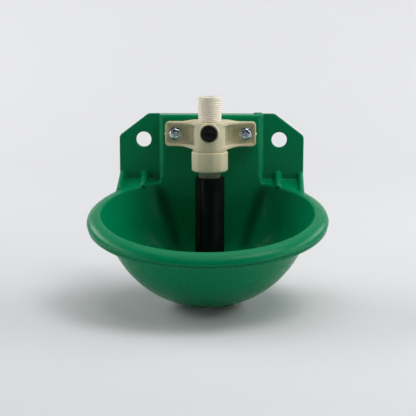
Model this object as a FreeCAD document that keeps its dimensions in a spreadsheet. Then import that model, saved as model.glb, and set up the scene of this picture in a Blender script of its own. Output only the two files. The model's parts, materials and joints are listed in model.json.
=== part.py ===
import FreeCAD, Part
import Sketcher
import math
import os

# Livestock drinking bowl with a push-tube valve, for bolting to a wall or a pen bar.
# Millimetres. The origin is midway between the two wall bolt holes, on the wall face.
# X is to the right, Y runs into the wall (the bowl is on the -Y side), Z is up.

doc = FreeCAD.newDocument("drinking_bowl")
sheet = doc.addObject("Spreadsheet::Sheet", "Sizes")

SIZES = {
    # Wall plate: two ears beside a hollow box that carries the valve
    "hole_spacing": 124.0,
    "hole_diameter": 14.0,
    "ear_thickness": 4.5,
    "ear_half_width": 84.3,
    "plate_top": 23.8,
    "ear_chamfer_width": 26.7,
    "ear_chamfer_height": 20.3,
    "ear_corner_radius": 5.0,
    "ear_foot": 10.0,
    "box_depth": 17.0,
    "box_half_width": 46.5,
    "box_edge_radius": 2.5,
    "wall": 3.2,
    "pip_offset": 42.5,
    "pip_width": 8.0,
    "pip_depth": 6.0,
    "pip_height": 1.2,
    "pip_back": 3.0,
    # Bowl: a round rim that slopes to the front, over a ball-shaped bowl that is deeper at the back
    "bowl_reach": 86.0,
    "rim_drop": 51.5,
    "rim_tilt": 10.6,
    "opening_radius": 90.5,
    "side_flare": 4.9,
    "bowl_centre_rise": 6.8,
    "roll_width": 12.5,
    "roll_crown": 7.2,
    "rim_height": 11.0,
    "bead_height": 3.0,
    "bead_inset": 0.8,
    "back_width_depth": 84.0,
    "back_floor_depth": 110.0,
    "shelf_start": 40.0,
    "skirt_shoulder_drop": 38.0,
    "skirt_knee_drop": 95.0,
    "skirt_knee_half_width": 30.0,
    "skirt_bottom_drop": 112.0,
    # Gusset ribs between the ears and the rim
    "rib_thickness": 5.0,
    "middle_rib_offset": 61.0,
    "middle_rib_length": 22.0,
    "edge_rib_length": 31.0,
    "rib_rise": 7.0,
    "rib_toe": 1.5,
    "rib_sink": 2.0,
    # Valve body
    "valve_axis_out": 22.0,
    "valve_height": 7.2,
    "flange_length": 81.3,
    "flange_height": 22.0,
    "flange_thickness": 7.0,
    "flange_corner_radius": 3.5,
    "flange_bulge": 1.6,
    "pocket_depth": 3.6,
    "scoop_gap": 3.5,
    "barrel_radius": 15.3,
    "screw_spacing": 63.0,
    "inlet_radius": 10.478,
    "inlet_top": 42.0,
    "inlet_bore_radius": 7.2,
    "throat_radius": 4.0,
    "chamber_radius": 8.2,
    "neck_radius": 14.1,
    "nut_thread_radius": 13.9,
    "boss_wall": 1.5,
    "boss_rise": 0.6,
    "boss_sink": 4.0,
    "flange_lip": 1.6,
    # Union nut
    "nut_outer_radius": 16.1,
    "nut_top_drop": 6.5,
    "nut_length": 17.4,
    "nut_floor": 3.0,
    "nut_mouth_radius": 11.0,
    "nut_chamfer": 0.8,
    # Push tube
    "tube_radius": 9.6,
    "tube_bore_radius": 7.2,
    "tube_flange_radius": 12.2,
    "tube_flange_thickness": 2.2,
    "anvil_width": 3.6,
    "anvil_height": 1.6,
    "anvil_ring_width": 1.0,
    "anvil_ring_height": 0.8,
    "sleeve_radius": 13.1,
    "sleeve_top_drop": 29.7,
    "sleeve_length": 67.3,
    "tube_inset": 2.0,
    "rocking_room": 2.8,
    "rocking_gap": 0.4,
    "thrust_washer_thickness": 1.2,
    "thrust_washer_room": 0.9,
    # Valve disc, seat, spring and strainer
    "seat_thickness": 2.5,
    "seat_radius": 9.4,
    "seat_bore_radius": 4.0,
    "seat_lip_height": 0.3,
    "seat_lip_width": 1.2,
    "gasket_thickness": 1.0,
    "seat_gap": 0.05,
    "disc_radius": 6.6,
    "disc_thickness": 2.0,
    "disc_seal_thickness": 1.5,
    "stem_radius": 2.0,
    "spring_guide_height": 2.0,
    "spring_wire": 0.9,
    "spring_radius": 4.4,
    "spring_turns": 5.0,
    "strainer_radius": 5.6,
    "strainer_length": 14.0,
    "strainer_rim_height": 1.2,
    "strainer_rim_width": 1.1,
    "strainer_wall": 0.8,
    "strainer_slot_width": 1.2,
    "strainer_slot_margin": 2.0,
    "spring_length": 12.5,
    "retainer_thickness": 1.5,
    "retainer_centre_radius": 1.2,
    "retainer_hole_ring": 4.8,
    "retainer_hole_radius": 2.0,
    # Flow regulator
    "regulator_rise": 3.5,
    "regulator_radius": 7.2,
    "regulator_head": 3.4,
    "regulator_stem_radius": 4.8,
    "regulator_proud": 0.8,
    "plug_room": 2.0,
    "slot_length": 9.0,
    "slot_width": 1.6,
    "slot_depth": 1.4,
    "o_ring_section": 1.0,
    "o_ring_setback": 1.0,
    "o_ring_groove_depth": 0.8,
    "o_ring_groove_width": 1.3,
    # Fasteners
    "screw_radius": 3.0,
    "screw_head_radius": 5.0,
    "screw_head_height": 3.6,
    "screw_flange_radius": 5.8,
    "screw_flange_height": 0.9,
    "screw_end": 2.0,
    "recess_reach": 2.75,
    "recess_arm": 0.7,
    "recess_depth": 2.0,
    "washer_radius": 6.0,
    "washer_thickness": 1.2,
    "lock_washer_radius": 5.0,
    "lock_washer_thickness": 1.4,
    "lock_washer_split": 0.8,
    "fastener_nut_width": 10.0,
    "fastener_nut_height": 5.0,
    # Clearances
    "running_gap": 0.3,
    "fit_gap": 0.1,
    "hole_gap": 0.3,
    # Small chamfer on turned edges, and how far a cutter runs past what it cuts
    "edge_chamfer": 0.6,
    "overrun": 1.0,
}

for row, (alias, number) in enumerate(SIZES.items(), start=1):
    sheet.set("A%d" % row, alias)
    sheet.set("B%d" % row, str(number))
    sheet.setAlias("B%d" % row, alias)
doc.recompute()


class Size:
    """A size that holds its value and the sheet expression that gives it."""

    def __init__(self, value, text):
        self.value = value
        self.text = text

    def __add__(self, other):
        other = as_size(other)
        return Size(self.value + other.value, "(%s + %s)" % (self.text, other.text))

    def __sub__(self, other):
        other = as_size(other)
        return Size(self.value - other.value, "(%s - %s)" % (self.text, other.text))

    def __mul__(self, other):
        other = as_size(other)
        return Size(self.value * other.value, "(%s * %s)" % (self.text, other.text))

    def __truediv__(self, other):
        other = as_size(other)
        return Size(self.value / other.value, "(%s / %s)" % (self.text, other.text))

    def __neg__(self):
        return Size(-self.value, "(-%s)" % self.text)


def as_size(number):
    """Wrap a plain number so that it can be mixed with sizes."""
    if isinstance(number, Size):
        return number
    return Size(float(number), repr(float(number)))


def size(alias):
    """The sheet's size of this name."""
    return Size(SIZES[alias], "Sizes.%s" % alias)


def sine(angle):
    return Size(math.sin(math.radians(angle.value)), "sin(%s * 1 deg)" % angle.text)


def cosine(angle):
    return Size(math.cos(math.radians(angle.value)), "cos(%s * 1 deg)" % angle.text)


def bind(thing, prop, amount):
    """Set a property from a size and keep it bound to the sheet."""
    thing.setExpression(prop, as_size(amount).text)


ZERO = as_size(0)
X_AXIS = FreeCAD.Vector(1, 0, 0)
Y_AXIS = FreeCAD.Vector(0, 1, 0)
Z_AXIS = FreeCAD.Vector(0, 0, 1)
NODES = []


def node(thing, label):
    """Give a finished sub-part its name and put it on the list that is written out."""
    thing.Label = label
    NODES.append(thing)
    return thing


def place(thing, x=0, y=0, z=0, axis=None, angle=0):
    """Put a piece in its place, with each coordinate bound to the sheet."""
    turn = FreeCAD.Rotation(axis or Z_AXIS, as_size(angle).value)
    spot = FreeCAD.Vector(as_size(x).value, as_size(y).value, as_size(z).value)
    thing.Placement = FreeCAD.Placement(spot, turn)
    for letter, amount in (("x", x), ("y", y), ("z", z)):
        bind(thing, "Placement.Base.%s" % letter, amount)
    if isinstance(angle, Size):
        bind(thing, "Placement.Rotation.Angle", angle)
    return thing


def outline(sketch, corners):
    """Draw a closed outline of straight lines, with each corner held to its sizes."""
    corners = [(as_size(a), as_size(b)) for a, b in corners]
    count = len(corners)
    for i in range(count):
        start = FreeCAD.Vector(corners[i][0].value, corners[i][1].value, 0)
        after = corners[(i + 1) % count]
        sketch.addGeometry(Part.LineSegment(start, FreeCAD.Vector(after[0].value, after[1].value, 0)))
    first = sketch.GeometryCount - count
    for i in range(count):
        sketch.addConstraint(Sketcher.Constraint("Coincident", first + i, 2, first + (i + 1) % count, 1))
    for i, (across, up) in enumerate(corners):
        hold(sketch, first + i, 1, across, up)
    return sketch


def hold(sketch, geometry, point, across, up):
    """Hold a point of a sketch at its two sizes, measured from the sketch's origin."""
    for kind, amount, line in (("DistanceX", across, -2), ("DistanceY", up, -1)):
        if amount.value == 0:
            sketch.addConstraint(Sketcher.Constraint("PointOnObject", geometry, point, line))
        elif amount.value > 0:
            rule = Sketcher.Constraint(kind, -1, 1, geometry, point, amount.value)
            bind(sketch, "Constraints[%d]" % sketch.addConstraint(rule), amount)
        else:
            rule = Sketcher.Constraint(kind, geometry, point, -1, 1, -amount.value)
            bind(sketch, "Constraints[%d]" % sketch.addConstraint(rule), -amount)


def ring(sketch, across, up, radius):
    """Draw a circle held to its centre and radius."""
    across, up, radius = as_size(across), as_size(up), as_size(radius)
    centre = FreeCAD.Vector(across.value, up.value, 0)
    number = sketch.addGeometry(Part.Circle(centre, Z_AXIS, radius.value))
    hold(sketch, number, 3, across, up)
    rule = Sketcher.Constraint("Radius", number, radius.value)
    bind(sketch, "Constraints[%d]" % sketch.addConstraint(rule), radius)
    return sketch


def new_body(name):
    return doc.addObject("PartDesign::Body", name)


def body_sketch(body, plane, name, lift=0):
    """A sketch on one of a body's own origin planes, lifted along the plane's normal."""
    sketch = body.newObject("Sketcher::SketchObject", name)
    origin_plane = next(f for f in body.Origin.OriginFeatures if f.Role == plane)
    sketch.AttachmentSupport = [(origin_plane, "")]
    sketch.MapMode = "FlatFace"
    lift = as_size(lift)
    sketch.AttachmentOffset = FreeCAD.Placement(FreeCAD.Vector(0, 0, lift.value), FreeCAD.Rotation())
    bind(sketch, "AttachmentOffset.Base.z", lift)
    return sketch


def pad(body, sketch, length, name, reverse=False):
    feature = body.newObject("PartDesign::Pad", name)
    feature.Profile = sketch
    bind(feature, "Length", length)
    feature.Reversed = reverse
    return feature


def pocket(body, sketch, length, name, reverse=False):
    feature = body.newObject("PartDesign::Pocket", name)
    feature.Profile = sketch
    bind(feature, "Length", length)
    feature.Reversed = reverse
    return feature


def turned(label, corners):
    """A turned piece about its own Z axis, from its half section as radius and height."""
    body = new_body(label)
    sketch = body_sketch(body, "XZ_Plane", label + "_section")
    outline(sketch, corners)
    spin = body.newObject("PartDesign::Revolution", label + "_turning")
    spin.Profile = sketch
    spin.ReferenceAxis = (sketch, ["V_Axis"])
    spin.Angle = 360
    return node(body, label)


def loose_sketch(name):
    return doc.addObject("Sketcher::SketchObject", name)


def extruded(name, sketch, direction, length):
    solid = doc.addObject("Part::Extrusion", name)
    solid.Base = sketch
    solid.DirMode = "Custom"
    solid.Dir = direction
    solid.Solid = True
    bind(solid, "LengthFwd", length)
    return solid


def joined(name, pieces):
    whole = doc.addObject("Part::MultiFuse", name)
    whole.Shapes = pieces
    whole.Refine = True
    return whole


def cut(name, base, tool):
    whole = doc.addObject("Part::Cut", name)
    whole.Base = base
    whole.Tool = tool
    whole.Refine = True
    return whole


# Places that several pieces share
TILT = size("rim_tilt")
WALL = size("wall")
PANEL_OUT = size("box_depth")
AXIS_Y = -(PANEL_OUT + size("valve_axis_out"))
VALVE_Z = size("valve_height")
BOWL_Y = -size("bowl_reach")
BOWL_Z = -size("rim_drop")
RIM_RADIUS = size("opening_radius") + size("roll_width")
CHAMFER = size("edge_chamfer")
OVERRUN = size("overrun")


def rim_height_at(out):
    """Height of the rim plane at a distance out from the wall."""
    return BOWL_Z + (size("bowl_reach") - out) * sine(TILT) / cosine(TILT)


def rim_frame(back=0.0):
    """A frame across the bowl: X to the right, Y along the rim's own axis, Z to the front."""
    tilt = math.radians(TILT.value)
    spot = FreeCAD.Vector(0, BOWL_Y.value + back * math.cos(tilt), BOWL_Z.value + back * math.sin(tilt))
    return FreeCAD.Placement(spot, FreeCAD.Rotation(X_AXIS, 90 + TILT.value))


def section_edges(mouth, back):
    """Half of the bowl's cross-section at a distance behind its centre: flared side, then round floor."""
    across = math.sqrt(1 - (back / SIZES["back_width_depth"]) ** 2)
    down = math.sqrt(1 - (back / SIZES["back_floor_depth"]) ** 2)
    rise = SIZES["bowl_centre_rise"]
    radius = mouth - SIZES["side_flare"]
    touch = math.atan2(-rise, mouth) - math.acos(radius / math.hypot(rise, mouth))
    centre = FreeCAD.Vector(0, rise * down, 0)
    tall = FreeCAD.Vector(0, radius * down, 0)
    wide = FreeCAD.Vector(radius * across, 0, 0)
    if back == 0:
        curve = Part.Circle(centre, Z_AXIS, radius)
        ends = (-math.pi / 2, touch)
    else:
        curve = Part.Ellipse(centre + tall, centre - wide, centre)
        ends = (-math.pi, touch - math.pi / 2)
    floor = Part.Arc(curve, *ends).toShape()
    knee = centre + wide * math.cos(touch) + tall * math.sin(touch)
    side = Part.LineSegment(knee, FreeCAD.Vector(mouth * across, 0, 0)).toShape()
    return floor, side


def closed_section(mouth, back):
    """The whole cross-section as a closed wire in its place."""
    floor, side = section_edges(mouth, back)
    mirrored = [edge.mirror(FreeCAD.Vector(), X_AXIS) for edge in (side, floor)]
    lip = side.Vertexes[-1].Point
    lid = Part.LineSegment(FreeCAD.Vector(-abs(lip.x), 0, 0), FreeCAD.Vector(abs(lip.x), 0, 0)).toShape()
    wire = Part.Wire(Part.__sortEdges__([floor, side, lid] + mirrored))
    wire.Placement = rim_frame(back)
    return wire


def bowl_form(mouth):
    """A solid of the bowl's form: turned at the front, lofted through flatter sections at the back."""
    floor, side = section_edges(mouth, 0.0)
    origin = FreeCAD.Vector()
    low = FreeCAD.Vector(0, SIZES["bowl_centre_rise"] + SIZES["side_flare"] - mouth, 0)
    axle = Part.LineSegment(origin, low).toShape()
    lid = Part.LineSegment(FreeCAD.Vector(mouth, 0, 0), origin).toShape()
    half = Part.Face(Part.Wire(Part.__sortEdges__([axle, floor, side, lid])))
    front = half.revolve(origin, FreeCAD.Vector(0, -1, 0), 180)
    front.Placement = rim_frame()
    # The loft's sections stand closer together where the bowl narrows
    backs = [SIZES["back_width_depth"] * share for share in (0.0, 0.28, 0.54, 0.745, 0.865, 0.93)]
    rear = Part.makeLoft([closed_section(mouth, back) for back in backs], True, False)
    return front.fuse(rear).removeSplitter()


def feature(name, shape):
    thing = doc.addObject("Part::Feature", name)
    thing.Shape = shape
    return thing


def slab(name, out_from, out_to):
    """A wide block between two distances out from the wall, to trim pieces with."""
    block = doc.addObject("Part::Box", name)
    reach = RIM_RADIUS * 4
    bind(block, "Length", reach)
    bind(block, "Width", out_to - out_from)
    bind(block, "Height", reach)
    return place(block, -reach / 2, -out_to, -reach / 2)


def kept(name, piece, block):
    """The part of a piece that lies inside a block."""
    both = doc.addObject("Part::Common", name)
    both.Base = piece
    both.Tool = block
    return both


def rim_roll():
    """The rolled rim: a crown that falls away to its widest line, then a groove and a bead below it."""
    mouth = SIZES["opening_radius"]
    outer = RIM_RADIUS.value
    low = -SIZES["rim_height"]
    crown = -SIZES["roll_crown"]
    skin = SIZES["wall"]
    bead = outer - SIZES["bead_inset"]
    groove = bead - SIZES["bead_inset"]
    bead_top = low + SIZES["bead_height"]
    inner = mouth + skin / 2

    def at(radius, height):
        return FreeCAD.Vector(radius, height, 0)

    ellipse = Part.Ellipse(at(outer, crown), at(inner, 0), at(inner, crown))
    top = Part.Arc(ellipse, 0, math.pi / 2).toShape()
    corners = [at(outer, crown), at(groove, (crown * 2 + bead_top) / 3), at(groove, (crown + bead_top * 2) / 3)]
    corners += [at(bead, bead_top), at(bead, low), at(bead - skin, low)]
    corners += [at(bead - skin, low / 2), at(inner, -skin), at(inner, 0)]
    lines = [Part.LineSegment(a, b).toShape() for a, b in zip(corners, corners[1:])]
    ring_face = Part.Face(Part.Wire(Part.__sortEdges__([top] + lines)))
    solid = ring_face.revolve(FreeCAD.Vector(), Y_AXIS, 360)
    solid.Placement = rim_frame()
    return solid


def rim_box(name, half_width, front, back, top, low):
    """A block in the frame of the rim, given by its reach behind the bowl's centre and its heights."""
    block = doc.addObject("Part::Box", name)
    bind(block, "Length", half_width * 2)
    bind(block, "Width", top - low)
    bind(block, "Height", back - front)
    y = BOWL_Y + back * cosine(TILT) - low * sine(TILT)
    z = BOWL_Z + back * sine(TILT) + low * cosine(TILT)
    return place(block, -half_width, y, z, X_AXIS, TILT + 90)


def shelf():
    """The flat shelf from the rim back to the ears, with turned-down sides and open underneath."""
    half = size("ear_half_width")
    start = size("shelf_start")
    end = size("bowl_reach") + RIM_RADIUS - size("opening_radius")
    low = -size("rim_height")
    outer = rim_box("shelf_block", half, start, end, ZERO, low)
    inner = rim_box("shelf_hollow", half - WALL, start - OVERRUN, end, -WALL, low - OVERRUN)
    return cut("shelf", outer, inner)


def skirt_corners(inset):
    """Outline of the hollow box and of the skirt that carries it down behind the bowl."""
    half = size("box_half_width") - inset
    knee = size("skirt_knee_half_width") - inset
    bottom = -(size("skirt_bottom_drop") - inset)
    shoulder = -size("skirt_shoulder_drop")
    bend = -size("skirt_knee_drop")
    top = size("plate_top") - inset
    return [(half, top), (-half, top), (-half, shoulder), (-knee, bend),
            (-knee / 2, bottom), (knee / 2, bottom), (knee, bend), (half, shoulder)]


def front_sketch(name, corners):
    """An outline drawn on the wall face, as seen from the front."""
    return place(outline(loose_sketch(name), corners), 0, 0, 0, X_AXIS, 90)


def rounded(name, base, radius, chosen):
    """Round the edges of a solid that a test picks out."""
    doc.recompute()
    picked = [i for i, edge in enumerate(base.Shape.Edges, start=1) if chosen(edge)]
    fillet = doc.addObject("Part::Fillet", name)
    fillet.Base = base
    fillet.Edges = [(i, radius, radius) for i in picked]
    return fillet


def along(edge, axis):
    """True for a straight edge that runs along an axis."""
    first, last = edge.Vertexes[0].Point, edge.Vertexes[-1].Point
    return (last - first).Length > 0 and abs((last - first).normalize().dot(axis)) > 0.999


def ears():
    half = size("ear_half_width")
    top = size("plate_top")
    foot = rim_height_at(ZERO) - size("ear_foot")
    side = top - size("ear_chamfer_height")
    inner = half - size("ear_chamfer_width")
    corners = [(half, side), (inner, top), (-inner, top), (-half, side), (-half, foot), (half, foot)]
    plate = extruded("ear_plate", front_sketch("ear_outline", corners), -Y_AXIS, size("ear_thickness"))
    return rounded("ear_corners", plate, SIZES["ear_corner_radius"],
                   lambda edge: along(edge, Y_AXIS) and edge.Vertexes[0].Point.z > foot.value + 1)


def valve_box():
    solid = extruded("valve_box_block", front_sketch("valve_box_outline", skirt_corners(ZERO)), -Y_AXIS, PANEL_OUT)
    front = -PANEL_OUT.value
    return rounded("valve_box", solid, SIZES["box_edge_radius"],
                   lambda edge: all(abs(v.Point.y - front) < 0.01 for v in edge.Vertexes))


def plate_pip():
    """The small moulding pip on the top edge, right of the middle."""
    block = doc.addObject("Part::Box", "pip_block")
    tall = size("pip_height")
    bind(block, "Length", size("pip_width"))
    bind(block, "Width", size("pip_depth"))
    bind(block, "Height", tall + OVERRUN)
    place(block, size("pip_offset") - size("pip_width") / 2, -(size("pip_back") + size("pip_depth")),
          size("plate_top") - OVERRUN)
    top = (size("plate_top") + tall).value
    return rounded("plate_pip", block, CHAMFER.value,
                   lambda edge: all(abs(v.Point.z - top) < 0.01 for v in edge.Vertexes))


def rib(name, offset, length):
    """A gusset from an ear down to the rim, round on top."""
    sketch = loose_sketch(name + "_side")
    ear = size("ear_thickness")
    toe = ear + length
    sink = size("rib_sink")
    outline(sketch, [(-toe, rim_height_at(toe) - sink), (-ear / 2, rim_height_at(ear) - sink),
                     (-ear / 2, rim_height_at(ear) + size("rib_rise")),
                     (-ear, rim_height_at(ear) + size("rib_rise")),
                     (-toe, rim_height_at(toe) + size("rib_toe"))])
    thickness = size("rib_thickness")
    place(sketch, offset - thickness / 2, 0, 0)
    sketch.Placement = FreeCAD.Placement(sketch.Placement.Base, FreeCAD.Rotation(90, 0, 90))
    solid = extruded(name + "_block", sketch, X_AXIS, thickness)
    middle = -(ear + length / 2).value
    crest = rim_height_at(ear + length / 2).value
    return rounded(name, solid, SIZES["rib_thickness"] * 0.45,
                   lambda edge: not along(edge, X_AXIS) and abs(edge.CenterOfMass.y - middle) < 3
                   and edge.CenterOfMass.z > crest)


def drilled(name, across, up, radius, depth):
    """A round cutter that runs in from the front, as deep as it needs to be."""
    drill = doc.addObject("Part::Cylinder", name)
    bind(drill, "Radius", radius)
    bind(drill, "Height", depth)
    return place(drill, across, 0, up, X_AXIS, 90)


def bowl_shell():
    skin = feature("bowl_skin", bowl_form(SIZES["opening_radius"] + WALL.value))
    hollow = feature("bowl_hollow", bowl_form(SIZES["opening_radius"]))
    roll = feature("rim_roll", rim_roll())
    reach = RIM_RADIUS * 3
    before_box = slab("before_box", PANEL_OUT - WALL, reach)
    before_panel = slab("before_panel", PANEL_OUT, reach)
    before_wall = slab("before_wall", ZERO, reach)
    pieces = [kept("bowl_outside", skin, before_box), kept("roll_outside", roll, before_wall),
              kept("shelf_outside", shelf(), before_wall), ears(), valve_box(), plate_pip()]
    for side, sign in (("left", -1), ("right", 1)):
        middle = size("middle_rib_offset") * sign
        edge = (size("ear_half_width") - size("rib_thickness") / 2) * sign
        pieces.append(rib("middle_rib_" + side, middle, size("middle_rib_length")))
        pieces.append(rib("edge_rib_" + side, edge, size("edge_rib_length")))
    solid = joined("bowl_solid", pieces)
    box_hollow = extruded("box_hollow", front_sketch("box_hollow_outline", skirt_corners(WALL)), -Y_AXIS,
                          PANEL_OUT - WALL)
    cutters = [kept("cavity", hollow, before_panel), box_hollow]
    for side, sign in (("left", -1), ("right", 1)):
        cutters.append(drilled("wall_hole_" + side, size("hole_spacing") / 2 * sign, ZERO,
                               size("hole_diameter") / 2, PANEL_OUT))
        cutters.append(drilled("screw_hole_" + side, size("screw_spacing") / 2 * sign, VALVE_Z,
                               size("screw_radius") + size("hole_gap"), PANEL_OUT * 2))
    return node(cut("bowl_shell", solid, joined("bowl_cutters", cutters)), "bowl_shell")


# Heights on the valve's axis, from the top down
NUT_TOP = -size("nut_top_drop")
NUT_LOW = NUT_TOP - size("nut_length")
NUT_SEAT = NUT_LOW + size("nut_floor")
TUBE_SEAT = NUT_SEAT + size("thrust_washer_thickness")
TUBE_TOP = TUBE_SEAT + size("tube_flange_thickness")
SPIGOT_LOW = TUBE_TOP + size("rocking_room")
SEAT_TOP = SPIGOT_LOW + size("seat_thickness")
DISC_LOW = SEAT_TOP + size("disc_seal_thickness")
DISC_TOP = DISC_LOW + size("disc_thickness")
CHAMBER_TOP = DISC_TOP + size("spring_length") + size("retainer_thickness")
SLEEVE_LOW = -(size("sleeve_top_drop") + size("sleeve_length"))

# Distances out from the wall along the screws, from the front to the back
WASHER_FACE = PANEL_OUT + size("flange_thickness") - size("pocket_depth")
HEAD_FACE = WASHER_FACE + size("washer_thickness")
REAR_WASHER_FACE = PANEL_OUT - WALL - size("washer_thickness")
LOCK_WASHER_FACE = REAR_WASHER_FACE - size("lock_washer_thickness")
NUT_FACE = LOCK_WASHER_FACE - size("fastener_nut_height")
SCREW_SHANK = HEAD_FACE - NUT_FACE + size("screw_end")

# Distance out from the valve's axis to the face of the regulator's boss
BOSS_FACE = size("barrel_radius") + size("boss_rise")


def on_axis(body, height):
    """Stand a turned piece on the valve's axis."""
    return place(body, 0, AXIS_Y, height)


def flange_outline(sketch):
    """The valve's mounting flange, which swells above and below the barrel."""
    half = size("flange_length") / 2
    tall = size("flange_height") / 2
    swell = tall + size("flange_bulge")
    barrel = size("barrel_radius")
    start = barrel + size("flange_bulge") * 6
    corners = [(half, tall), (start, tall), (barrel, swell), (-barrel, swell), (-start, tall), (-half, tall),
               (-half, -tall), (-start, -tall), (-barrel, -swell), (barrel, -swell), (start, -tall), (half, -tall)]
    return outline(sketch, corners)


def valve_body():
    body = new_body("valve_body")
    out = size("valve_axis_out")
    thick = size("flange_thickness")
    pad(body, flange_outline(body_sketch(body, "XZ_Plane", "flange_sketch")), thick, "flange")
    doc.recompute()
    corner = SIZES["flange_length"] / 2
    flange = body.Tip
    fillet = body.newObject("PartDesign::Fillet", "flange_corners")
    picked = [i for i, edge in enumerate(flange.Shape.Edges, start=1)
              if along(edge, Y_AXIS) and abs(abs(edge.Vertexes[0].Point.x) - corner) < 0.01]
    fillet.Base = (flange, ["Edge%d" % i for i in picked])
    bind(fillet, "Radius", size("flange_corner_radius"))
    swell = size("flange_height") / 2 + size("flange_bulge")
    barrel = size("barrel_radius")
    pad(body, ring(body_sketch(body, "XY_Plane", "barrel_sketch", -swell), ZERO, -out, barrel), swell * 2, "barrel")
    web = outline(body_sketch(body, "XY_Plane", "web_sketch", -swell),
                  [(-barrel, ZERO), (-barrel, -thick), (-barrel * 0.9, -out), (barrel * 0.9, -out),
                   (barrel, -thick), (barrel, ZERO)])
    pad(body, web, swell * 2, "web")
    inlet = ring(body_sketch(body, "XY_Plane", "inlet_sketch"), ZERO, -out, size("inlet_radius"))
    pad(body, inlet, size("inlet_top") - VALVE_Z, "inlet")
    neck = ring(body_sketch(body, "XY_Plane", "neck_sketch"), ZERO, -out, size("neck_radius"))
    pad(body, neck, VALVE_Z - NUT_TOP, "neck", True)
    spigot = ring(body_sketch(body, "XY_Plane", "spigot_sketch"), ZERO, -out, size("nut_thread_radius"))
    pad(body, spigot, VALVE_Z - SPIGOT_LOW, "spigot", True)
    boss_out = out + barrel - size("boss_sink")
    boss = ring(body_sketch(body, "XZ_Plane", "boss_sketch", boss_out), ZERO, size("regulator_rise"),
                size("regulator_radius") + size("boss_wall"))
    pad(body, boss, size("boss_rise") + size("boss_sink"), "regulator_boss")
    scoop_in = barrel + size("scoop_gap")
    lip = size("flange_lip")
    tall = size("flange_height") / 2 - lip
    for side, sign in (("left", -1), ("right", 1)):
        near, far = scoop_in * sign, (size("flange_length") / 2 - lip) * sign
        scoop = outline(body_sketch(body, "XZ_Plane", "scoop_sketch_" + side, thick),
                        [(near, tall), (far, tall), (far, -tall), (near, -tall)])
        pocket(body, scoop, size("pocket_depth"), "scoop_" + side)
    bore = body_sketch(body, "XZ_Plane", "bore_sketch", out)
    wide, throat = size("inlet_bore_radius"), size("throat_radius")
    chamber, seat = size("chamber_radius"), size("seat_radius")
    plug_room = size("regulator_stem_radius") + size("plug_room")
    throat_top = size("regulator_rise") + plug_room
    strainer_rim = wide + size("strainer_rim_width")
    top = size("inlet_top") - VALVE_Z
    spigot_low = SPIGOT_LOW - VALVE_Z
    outline(bore, [(ZERO, top + OVERRUN), (strainer_rim, top + OVERRUN), (strainer_rim, top - size("strainer_rim_height")),
                   (wide, top - size("strainer_rim_height")), (wide, throat_top), (throat, throat_top),
                   (throat, CHAMBER_TOP - VALVE_Z), (chamber, CHAMBER_TOP - VALVE_Z), (chamber, SEAT_TOP - VALVE_Z),
                   (seat, SEAT_TOP - VALVE_Z), (seat, spigot_low - OVERRUN), (ZERO, spigot_low - OVERRUN)])
    groove = body.newObject("PartDesign::Groove", "bore")
    groove.Profile = bore
    groove.ReferenceAxis = (bore, ["V_Axis"])
    groove.Angle = 360
    face = out + BOSS_FACE
    head = ring(body_sketch(body, "XZ_Plane", "regulator_seat_sketch", face), ZERO, size("regulator_rise"),
                size("regulator_radius") + size("fit_gap"))
    pocket(body, head, size("regulator_head") - size("regulator_proud"), "regulator_seat")
    stem = ring(body_sketch(body, "XZ_Plane", "regulator_bore_sketch", face), ZERO, size("regulator_rise"),
                size("regulator_stem_radius") + size("fit_gap"))
    pocket(body, stem, BOSS_FACE + plug_room, "regulator_bore")
    for side, sign in (("left", -1), ("right", 1)):
        hole = ring(body_sketch(body, "XZ_Plane", "screw_hole_sketch_" + side, thick),
                    size("screw_spacing") / 2 * sign, ZERO, size("screw_radius") + size("hole_gap"))
        pocket(body, hole, thick, "body_screw_hole_" + side)
    return node(place(body, 0, -PANEL_OUT, VALVE_Z), "valve_body")


def flow_regulator():
    """A plug across the water way, with a cross hole and a slotted head, which turns to throttle the flow."""
    body = new_body("flow_regulator")
    head, stem = size("regulator_radius"), size("regulator_stem_radius")
    height = size("regulator_head")
    groove_low = height + size("o_ring_setback")
    groove_high = groove_low + size("o_ring_groove_width")
    groove = stem - size("o_ring_groove_depth")
    axis_depth = BOSS_FACE + size("regulator_proud")
    length = axis_depth + size("throat_radius") + OVERRUN
    section = body_sketch(body, "XZ_Plane", "regulator_section")
    outline(section, [(ZERO, ZERO), (head - CHAMFER, ZERO), (head, CHAMFER), (head, height), (stem, height),
                      (stem, groove_low), (groove, groove_low), (groove, groove_high), (stem, groove_high),
                      (stem, length), (ZERO, length)])
    spin = body.newObject("PartDesign::Revolution", "regulator_turning")
    spin.Profile = section
    spin.ReferenceAxis = (section, ["V_Axis"])
    spin.Angle = 360
    cross = ring(body_sketch(body, "XZ_Plane", "cross_hole_sketch", -stem * 1.5), ZERO, axis_depth,
                 size("throat_radius") - size("fit_gap") * 2)
    pocket(body, cross, stem * 3, "cross_hole", True)
    slot = size("slot_width") / 2
    run = size("slot_length") / 2
    slot_sketch = outline(body_sketch(body, "XY_Plane", "slot_sketch"),
                          [(-run, -slot), (run, -slot), (run, slot), (-run, slot)])
    pocket(body, slot_sketch, size("slot_depth"), "driver_slot", True)
    out = PANEL_OUT + size("valve_axis_out") + axis_depth
    return node(place(body, 0, -out, VALVE_Z + size("regulator_rise"), X_AXIS, -90), "flow_regulator")


def o_ring(label, radius, section):
    """A round rubber ring, lying flat on its own origin."""
    donut = doc.addObject("Part::Torus", label)
    bind(donut, "Radius1", radius)
    bind(donut, "Radius2", section)
    return node(donut, label)


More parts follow.
